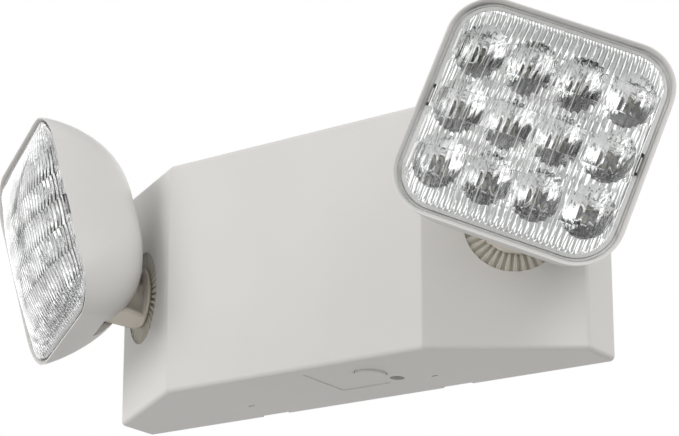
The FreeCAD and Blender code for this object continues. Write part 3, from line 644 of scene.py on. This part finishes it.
# %% Lens mesh
def make_lens(side):
    """Two sheets, the walls of the windows and the skirt, welded into one closed cover."""
    level, band = row_levels()
    columns = column_places()
    outer, inner = lens_sheets(columns, level, band)
    size = outer[0].size
    faces, windows = cut_windows(columns, level)
    points = [to_head(side, *sheet).reshape(-1, 3) for sheet in (outer, inner)]
    quads = [faces, faces + size]
    for loop in windows:
        after = np.roll(loop, -1)
        quads.append(np.stack([loop, after, after + size, loop + size], axis=-1))
    rim = perimeter(np.arange(size).reshape(outer[0].shape))
    foot = np.full(len(rim), -skirt_depth)
    points += [to_head(side, x.reshape(-1)[rim], z.reshape(-1)[rim], foot) for x, z, _ in (outer, inner)]
    number = np.arange(len(rim))
    after = np.roll(number, -1)
    outer_foot = 2 * size
    inner_foot = outer_foot + len(rim)
    strips = [(rim, rim[after], outer_foot + after, outer_foot + number),
              (outer_foot + number, outer_foot + after, inner_foot + after, inner_foot + number),
              (inner_foot + number, inner_foot + after, rim[after] + size, rim + size)]
    quads += [np.stack(strip, axis=-1) for strip in strips]
    points, quads = np.concatenate(points), np.concatenate(quads)
    mesh = mesh_from(side + "_fluted_lens", points, quads, clear_lens, crease=25.0)
    mesh.materials.append(frosted_line)
    mark_lines(mesh, side)
    return place_piece(side + "_fluted_lens", mesh, side + "_head", "clear_lens", side + "_lens")


for side in heads:
    lens = make_lens(side)
    print(lens.name, "faces:", len(lens.data.polygons))

# %% [markdown]
# A white seat lies under the border of the lens, so the border looks milky and not dark. It is one
# profile carried round the rounded square, with a second strip below the skirt. Two hooks of the same
# plastic stand in the windows of the lens and hold it down. Under each hook lies a thin black sheet of
# painted shade, which stands for the deep, unlit pocket there and shows round the hook.

# %% Lens seat and hooks
seat_profile = [(45.3, -2.42), (46.9, -2.42), (46.9, -2.15), (45.3, -1.80)]
foot_profile = [(47.1, -2.60), (48.4, -2.60), (48.3, -3.30), (47.1, -3.30)]
hook_half = (0.3, 3.4)
hook_height = (-1.0, -0.45)
# Painted shade: a thin black sheet under each hook stands for the deep, unlit pocket there.
shade_sheet_half = (0.73, 4.98)
shade_sheet_height = (-1.01, -0.95)


def block(side, low, high):
    """An upright block between two corners in head values, as points and quads."""
    x, z, height = [axis.reshape(-1) for axis in np.meshgrid(*zip(low, high), indexing="ij")]
    quads = np.array([[0, 1, 3, 2], [4, 6, 7, 5], [0, 4, 5, 1], [2, 3, 7, 6], [0, 2, 6, 4], [1, 5, 7, 3]])
    return to_head(side, x, z, height), quads


def in_windows(side, half, height):
    """A block in the middle of each window, from its half sizes across and up and its two heights."""
    middle = sum(window_x) / 2
    return [block(side, (place - half[0], -half[1], height[0]), (place + half[0], half[1], height[1]))
            for place in (-middle, middle)]


def make_seat(side):
    """The seat, its foot strip and the two hooks as one piece, and the black sheets of painted shade under
    the hooks.
    """
    parts = [swept_ring(side, profile, lens_flat) for profile in (seat_profile, foot_profile)]
    parts += in_windows(side, hook_half, hook_height)
    mesh = mesh_from(side + "_lens_seat", *joined(parts), plastics["head"])
    seat = place_piece(side + "_lens_seat", mesh, side + "_head", "housing_plastic")
    # Painted shade: black sheets under the hooks stand in for the shade of the deep pockets.
    shade_sheets = joined(in_windows(side, shade_sheet_half, shade_sheet_height))
    mesh = mesh_from(side + "_painted_shade_sheets", *shade_sheets, black_plastic)
    return seat, place_piece(side + "_painted_shade_sheets", mesh, side + "_head", "black_plastic")


for side in heads:
    print([piece.name for piece in make_seat(side)])

# %% [markdown]
# The tray behind the lens has twelve cups, four across and three up. Each cup is a polar grid: rings
# from the small hole at its floor out to the mouth, and then on to the square cell that it shares with
# its neighbours. The mouths are a little taller than wide, and low ripples in the dish draw arcs.
# A last frame of points carries the flat flange out to the rounded outline.

# %% Cups of the tray
cup_columns = 4
cup_rows = 3
cup_pitch = (22.0, 25.6)
cup_mouth = 10.8
cup_stretch = 1.14
cup_floor = 2.6
cup_depth = 10.0
dish_depth = 3.4
dish_power = 1.7
well_power = 13
ripple = 0.025
ripples = 3
cup_turns = 72
cup_rings = 34
ring_power = 1.2
mouth_margin = 0.3
tray_level = -2.5
nearly_zero = 1e-9


def cup_profile(share):
    """Depth at a share of the way out: a dish that falls off by one power, waves, a well by a steep one."""
    waves = ripple * (1 - np.cos(2 * np.pi * ripples * share)) * share
    well = (cup_depth - dish_depth) * (1 - share) ** well_power
    return dish_depth * (1 - share ** dish_power) + waves + well


def to_square(angle, half_x, half_z):
    """Distance from the middle of a rectangle to its outline: the lesser of half over cosine and sine."""
    across = half_x / np.maximum(np.abs(np.cos(angle)), nearly_zero)
    upward = half_z / np.maximum(np.abs(np.sin(angle)), nearly_zero)
    return np.minimum(across, upward)


def cell_angles():
    """Directions around a cup that include the four corners of its cell."""
    corner = math.atan2(cup_pitch[1], cup_pitch[0])
    stops = [-corner, corner, math.pi - corner, math.pi + corner, 2 * math.pi - corner]
    quarter = cup_turns // 4
    return np.concatenate([np.linspace(a, b, quarter, endpoint=False) for a, b in zip(stops, stops[1:])])


def cup_grid():
    """One cup with its cell: radius rings times directions, as x, z and height values."""
    angle = cell_angles()[None, :]
    share = np.linspace(0.0, 1.0, cup_rings)[:, None] ** ring_power
    mouth = cup_mouth * np.hypot(np.cos(angle), cup_stretch * np.sin(angle))
    radius = cup_floor + (mouth - cup_floor) * share
    height = tray_level - cup_profile(share) + 0 * angle
    edge = to_square(angle, cup_pitch[0] / 2, cup_pitch[1] / 2)
    margin = radius[-1:] * (1 - mouth_margin) + edge * mouth_margin
    radius = np.concatenate([radius, margin, edge])
    height = np.concatenate([height, np.full((2, angle.shape[1]), tray_level)])
    return radius * np.cos(angle), radius * np.sin(angle), height


def in_cells(side, x, z, height):
    """Copies of one round grid, one in the middle of each cell, as sets of points and quads."""
    parts = []
    for row in range(cup_rows):
        for column in range(cup_columns):
            middle_x = (column - (cup_columns - 1) / 2) * cup_pitch[0]
            middle_z = (row - (cup_rows - 1) / 2) * cup_pitch[1]
            points = to_head(side, x + middle_x, z + middle_z, height)
            parts.append((points.reshape(-1, 3), grid_faces(*x.shape, closed=True)))
    return parts


print("points in a cup:", cup_grid()[0].size)

# %% Reflector tray
tray_half = 46.9
tray_corner = 16.9
tray_wall = 0.35
flange_turns = 360


def tray_outline(angle):
    """Distance from the middle to the outline: straight sides, and the far root of each corner's circle."""
    flat = tray_half - tray_corner
    straight = to_square(angle, tray_half, tray_half)
    over_x = np.abs(straight * np.cos(angle)) - flat
    over_z = np.abs(straight * np.sin(angle)) - flat
    along = flat * (np.abs(np.cos(angle)) + np.abs(np.sin(angle)))
    arc = along + np.sqrt(np.maximum(along ** 2 - (2 * flat ** 2 - tray_corner ** 2), 0.0))
    return np.where((over_x > 0) & (over_z > 0), arc, straight)


def flange(side):
    """Three rings of points, from the block of cells out to the outline of the tray."""
    angle = np.linspace(0, 2 * math.pi, flange_turns + 1)[:-1]
    inner = to_square(angle, cup_columns * cup_pitch[0] / 2, cup_rows * cup_pitch[1] / 2)
    outer = tray_outline(angle)
    radius = np.stack([inner, (inner + outer) / 2, outer])
    level = np.full(radius.shape, tray_level)
    points = to_head(side, radius * np.cos(angle), radius * np.sin(angle), level)
    return points.reshape(-1, 3), grid_faces(*radius.shape, closed=True)


def make_tray(side):
    """The cups and the flange, welded and given a thin wall behind."""
    name = side + "_bright_tray"
    parts = in_cells(side, *cup_grid()) + [flange(side)]
    mesh = mesh_from(name, *joined(parts), bright_tray, crease=28.0, solid=False)
    piece = place_piece(name, mesh, side + "_head", "bright_reflector", side + "_reflector")
    wall = piece.modifiers.new("wall", "SOLIDIFY")
    wall.thickness = tray_wall * mm
    wall.offset = -1.0
    return piece


for side in heads:
    tray = make_tray(side)
    print(tray.name, "faces:", len(tray.data.polygons))

# %% [markdown]
# In the floor of each cup sits a light chip: a small white square case with a yellow lens of phosphor.
# One rounded-square grid makes the case and a low dome the phosphor, repeated twelve times. Its rings
# have a high power at the case, which makes them square, and the power two at the dome.

# %% Light chips
chip_half = 1.5
chip_case = 0.8
chip_shoulder = 0.1
chip_taper = 0.93
case_rings = 3
case_power = 8.0
dome_half = 0.85
dome_height = 0.35
dome_rings = 6
dome_power = 2.0
dome_top = 1e-4
chip_turns = 24
dome_margin = 0.01
board_level = tray_level - cup_depth


def chip_rings():
    """Half widths and heights of the rings: case foot, case shoulder, case top, then the dome's arc."""
    turn = np.linspace(0.0, 1.0, dome_rings) * math.pi / 2
    dome = dome_half * np.cos(turn) + dome_top
    half = np.concatenate([[chip_half, chip_half, chip_half * chip_taper], dome])
    rise = chip_case + dome_height * np.sin(turn)
    lift = np.concatenate([[0.0, chip_case - chip_shoulder, chip_case], rise])
    return half, lift


def mark_domes(mesh, side):
    """Gives the faces above the case the yellow of the phosphor."""
    _, _, height = head_values(side, face_centres(mesh))
    domes = height > board_level + chip_case + dome_margin
    mesh.polygons.foreach_set("material_index", domes.astype(np.int32))


def make_chips(side):
    """A chip in each cup; its rings are superellipses, half over the root of the summed powers."""
    half, lift = chip_rings()
    angle = np.linspace(0, 2 * math.pi, chip_turns + 1)[:-1]
    power = np.where(np.arange(len(half)) < case_rings, case_power, dome_power)[:, None]
    across = np.abs(np.cos(angle)) ** power
    upward = np.abs(np.sin(angle)) ** power
    reach = half[:, None] / (across + upward) ** (1 / power)
    level = board_level + lift[:, None] + 0 * angle
    parts = in_cells(side, reach * np.cos(angle), reach * np.sin(angle), level)
    mesh = mesh_from(side + "_chips", *joined(parts), chip_case_white, crease=35.0, solid=False)
    mesh.materials.append(chip_glow)
    mark_domes(mesh, side)
    return place_piece(side + "_chips", mesh, side + "_head", "light_chip", side + "_light_chips")


for side in heads:
    print(make_chips(side).name)

# %% [markdown]
# The studio is plain: a pale floor well below the light, one large soft lamp from the upper left in front
# and a weaker one from the upper right. Neither shows in glass or metal, so no lamp burns out in a cup.

# %% Floor
floor_level = -0.95
floor_half = 6.0


def make_floor():
    """A square sheet of pale card."""
    mesh = bpy.data.meshes.new("studio_floor")
    signs = [(-1, -1), (1, -1), (1, 1), (-1, 1)]
    corners = [(x * floor_half, y * floor_half, floor_level) for x, y in signs]
    mesh.from_pydata(corners, [], [[0, 1, 2, 3]])
    card = moulded("pale_card", (0.62, 0.615, 0.61), rough=0.8, grain_mm=0.02,
                   grain_per_metre=300.0, drift=0.01)
    mesh.materials.append(card)
    floor = bpy.data.objects.new("studio_floor", mesh)
    bpy.context.scene.collection.objects.link(floor)
    floor.visible_glossy = False
    floor.visible_transmission = False


make_floor()
print("floor at", floor_level, "m")

# %% Lamps
def soft_lamp(name, place, size, watts, colour=(1.0, 1.0, 1.0)):
    """A square area lamp that points from its place to the origin, the middle of the light's back."""
    data = bpy.data.lights.new(name, "AREA")
    data.size = size
    data.energy = watts
    data.color = colour
    lamp = bpy.data.objects.new(name, data)
    bpy.context.scene.collection.objects.link(lamp)
    lamp.location = place
    lamp.visible_glossy = False
    lamp.visible_transmission = False
    lean = math.acos(place[2] / np.linalg.norm(place))
    lamp.rotation_euler = (lean, 0.0, math.atan2(-place[0], place[1]) + math.pi)


soft_lamp("key_lamp", place=(-1.0, -2.5, 0.75), size=1.6, watts=34.5, colour=(1.0, 0.99, 0.985))
soft_lamp("side_lamp", place=(2.0, -0.35, 1.5), size=1.0, watts=23.0)

# %% [markdown]
# A mirror-bright tray is only as good as the room that it mirrors. Glass and metal here see white walls
# under a dark ceiling, so the lower half of each cup shows a dark crescent. A grey ring round one white
# panel and a few grey patches break up the walls, and make the ribs of the lens stand out as lines. Each
# ramp runs over the height in the room, over how near a direction points to the ring, or over a noise.
# All else gets a soft light, stronger from above, and the camera sees plain white.

# %% Ramps and patches of the room
mirror_room = [(-1.0, 0.28), (-0.25, 0.42), (0.05, 0.95), (0.55, 1.0), (0.64, 0.03), (1.0, 0.02)]
ring_way = (0.430, -0.845, 0.318)
grey_ring = [(0.90, 1.0), (0.925, 0.30), (0.972, 0.30), (0.980, 1.0)]
grey_patches = [(0.0, 0.22), (0.42, 0.26), (0.455, 1.0), (1.0, 1.0)]
patch_scale = 3.2
patch_detail = 3.0


def ramp_on(tree, value, stops):
    """A grey ramp over a value from -1 to 1, with (value, level) stops."""
    spreader = tree.nodes.new("ShaderNodeMapRange")
    spreader.inputs["From Min"].default_value = -1.0
    spreader.inputs["From Max"].default_value = 1.0
    tree.links.new(value, spreader.inputs["Value"])
    ramp = tree.nodes.new("ShaderNodeValToRGB")
    while len(ramp.color_ramp.elements) < len(stops):
        ramp.color_ramp.elements.new(0.5)
    for element, (height, level) in zip(ramp.color_ramp.elements, stops):
        element.position = (height + 1) / 2
        element.color = (level, level, level, 1.0)
    tree.links.new(spreader.outputs["Result"], ramp.inputs["Fac"])
    return ramp.outputs["Color"]


def mixed(tree, share, first, second, kind="MIX"):
    """The second colour laid over the first, by a share that is a number or the output of a node."""
    node = tree.nodes.new("ShaderNodeMixRGB")
    node.blend_type = kind
    for name, value in (("Fac", share), ("Color1", first), ("Color2", second)):
        if isinstance(value, bpy.types.NodeSocket):
            tree.links.new(value, node.inputs[name])
        else:
            node.inputs[name].default_value = value
    return node.outputs["Color"]


def broken_up(tree, direction, room):
    """Puts a grey ring where the right lens mirrors the room, and grey patches over the rest of it."""
    towards = tree.nodes.new("ShaderNodeVectorMath")
    towards.operation = "DOT_PRODUCT"
    towards.inputs[1].default_value = ring_way
    tree.links.new(direction, towards.inputs[0])
    ring = ramp_on(tree, towards.outputs["Value"], grey_ring)
    noise = tree.nodes.new("ShaderNodeTexNoise")
    noise.inputs["Scale"].default_value = patch_scale
    noise.inputs["Detail"].default_value = patch_detail
    tree.links.new(direction, noise.inputs["Vector"])
    patches = ramp_on(tree, noise.outputs["Fac"], grey_patches)
    return mixed(tree, 1.0, mixed(tree, 1.0, room, ring, "MULTIPLY"), patches, "MULTIPLY")


print("stops of the mirrored room:", len(mirror_room))

# %% Surround
soft_room = [(-1.0, 0.16), (0.0, 0.38), (1.0, 0.74)]
mirror_gain = 0.62
white = (1.0, 1.0, 1.0, 1.0)


def calculated(tree, operation, *values):
    """Output of an arithmetic node; each value is a number or the output of a node."""
    node = tree.nodes.new("ShaderNodeMath")
    node.operation = operation
    for place, value in zip(node.inputs, values):
        if isinstance(value, bpy.types.NodeSocket):
            tree.links.new(value, place)
        else:
            place.default_value = value
    return node.outputs["Value"]


def make_world():
    """White for the camera, the brighter mirrored room for glass and metal, a soft level for all else."""
    world = bpy.data.worlds.new("studio")
    bpy.context.scene.world = world
    world.use_nodes = True
    tree = world.node_tree
    tree.nodes.clear()
    rays = tree.nodes.new("ShaderNodeLightPath").outputs
    where = tree.nodes.new("ShaderNodeTexCoord")
    split = tree.nodes.new("ShaderNodeSeparateXYZ")
    tree.links.new(where.outputs["Generated"], split.inputs["Vector"])
    room = ramp_on(tree, split.outputs["Z"], mirror_room)
    room = broken_up(tree, where.outputs["Generated"], room)
    soft = ramp_on(tree, split.outputs["Z"], soft_room)
    mirrored = calculated(tree, "MAXIMUM", rays["Is Glossy Ray"], rays["Is Transmission Ray"])
    shown = mixed(tree, rays["Is Camera Ray"], mixed(tree, mirrored, soft, room), white)
    sky = tree.nodes.new("ShaderNodeBackground")
    tree.links.new(shown, sky.inputs["Color"])
    tree.links.new(calculated(tree, "MULTIPLY_ADD", mirrored, mirror_gain, 1.0), sky.inputs["Strength"])
    out = tree.nodes.new("ShaderNodeOutputWorld")
    tree.links.new(sky.outputs["Background"], out.inputs["Surface"])
    return world


print("surround:", make_world().name)

# %% [markdown]
# The camera stands low on the right and looks up at the light. Its place, turn and focal length were
# worked out from the corners of the housing in a picture 679 pixels wide and 436 high.

# %% Camera
image_width = 679
focal_pixels = 2352.65
camera_turn = 37.60
camera_rise = 16.48
camera_data = bpy.data.cameras.new("studio_camera")
camera_data.sensor_width = 36.0
camera_data.sensor_fit = "HORIZONTAL"
camera_data.lens = focal_pixels * camera_data.sensor_width / image_width
camera = bpy.data.objects.new("studio_camera", camera_data)
bpy.context.scene.collection.objects.link(camera)
camera.location = (0.6461, -0.8586, -0.2882)
camera.rotation_euler = (math.radians(90.0 + camera_rise), 0.0, math.radians(camera_turn))
bpy.context.scene.camera = camera
bpy.context.scene.view_settings.view_transform = "Standard"
print("focal length:", round(camera_data.lens, 2), "mm")
